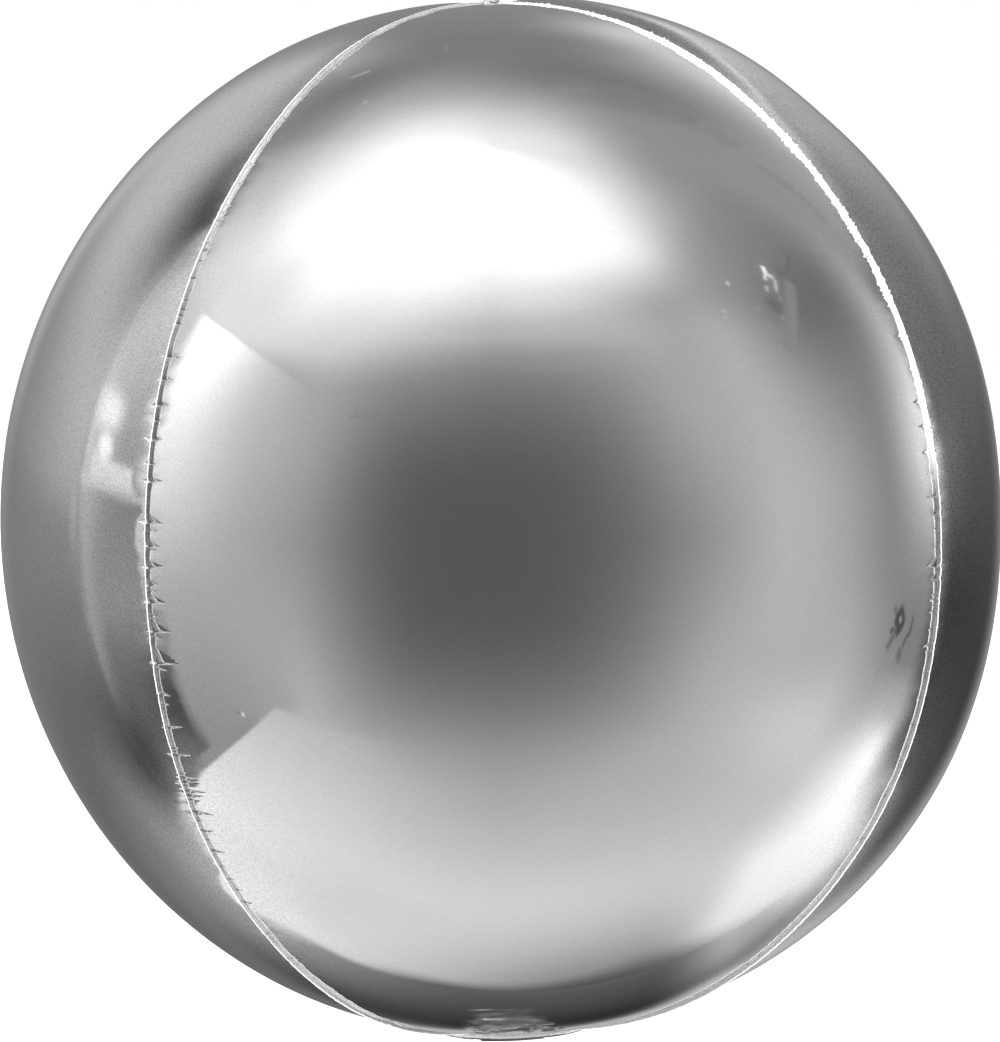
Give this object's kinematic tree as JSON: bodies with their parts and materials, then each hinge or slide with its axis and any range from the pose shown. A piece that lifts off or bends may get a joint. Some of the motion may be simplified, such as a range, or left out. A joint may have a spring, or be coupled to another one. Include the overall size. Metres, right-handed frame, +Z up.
{
  "type": "orb foil balloon",
  "caption": "Inflated silver foil balloon shaped like an orb, built from curved gores with welded seam flanges, a crown tip and a folded filling tail.",
  "frame": {"origin": "middle of the inflated envelope, halfway between the crown and the neck", "axes": "+Z up through the crown, the front gore faces -Y, the tail is folded back towards +Y"},
  "size_m": [0.3864, 0.3864, 0.4101],
  "materials": {
    "foil": "bright silver foil, very slightly clouded",
    "seam_foil": "puckered silver foil along the welds",
    "valve_plastic": "milky plastic film"
  },
  "bodies": {
    "envelope": {"gore_front": "foil", "gore_right": "foil", "gore_back": "foil", "gore_left": "foil", "seam_flange_front_right": "seam_foil", "seam_flange_back_right": "seam_foil", "seam_flange_back_left": "seam_foil", "seam_flange_front_left": "seam_foil", "crown_tip": "seam_foil", "neck_collar": "seam_foil"},
    "tail": {"tail_upper_film": "foil", "tail_lower_film": "foil", "valve_film": "valve_plastic"}
  },
  "joints": [
    {"name": "tail_fold", "type": "hinge", "parent": "envelope", "child": "tail", "pos_m": [0, 0, -0.2064], "axis": [-1, 0, 0], "range_deg": [0, 180]}
  ]
}
